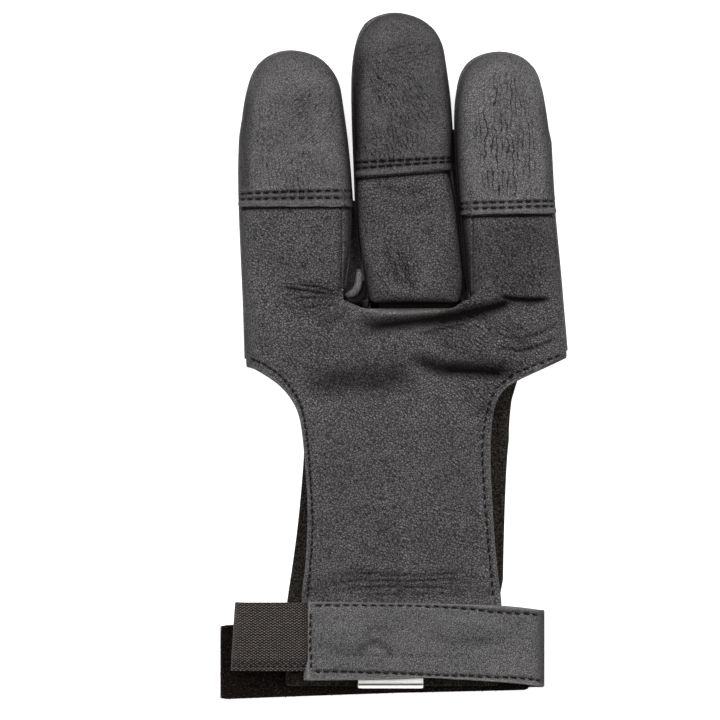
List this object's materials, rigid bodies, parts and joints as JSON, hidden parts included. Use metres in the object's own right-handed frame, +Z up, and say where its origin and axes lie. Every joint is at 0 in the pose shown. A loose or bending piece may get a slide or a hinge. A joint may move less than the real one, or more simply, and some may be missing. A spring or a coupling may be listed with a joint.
{
  "type": "three-finger archery glove",
  "caption": "Black leather shooting glove with closed, reinforced finger stalls, an open palm tongue and an elastic hook-and-loop wrist strap, lying palm up.",
  "frame": {"origin": "middle of the glove's footprint on the surface that it lies on", "axes": "+Y towards the fingertips, +X to the right of someone who looks at the palm, +Z up out of the palm"},
  "size_m": [0.1044, 0.2054, 0.0128],
  "materials": {
    "grain_leather": "soft black glove leather with a fine pebbled grain, low sheen",
    "tip_leather": "smoother, slightly glossier black leather on the reinforced tips",
    "back_leather": "soft black glove leather, matt",
    "strap_leather": "smooth black strap leather with a soft sheen",
    "suede_cloth": "black brushed cloth, matt",
    "elastic_webbing": "black knitted elastic with a ribbed selvedge",
    "pile_fabric": "black loop pile, fuzzy",
    "hook_tape": "black hook tape",
    "label_ribbon": "white woven ribbon, left blank"
  },
  "bodies": {
    "root": {"palm_front": "grain_leather", "middle_front": "grain_leather", "left_tip": "tip_leather", "middle_tip": "tip_leather", "right_tip": "tip_leather", "finger_backs": "back_leather", "hand_back": "suede_cloth", "wrist_strap": "strap_leather", "strap_lining": "pile_fabric", "wrist_elastic": "elastic_webbing", "hook_tape": "hook_tape", "size_label": "label_ribbon", "crotch_tab": "grain_leather"}
  },
  "joints": []
}
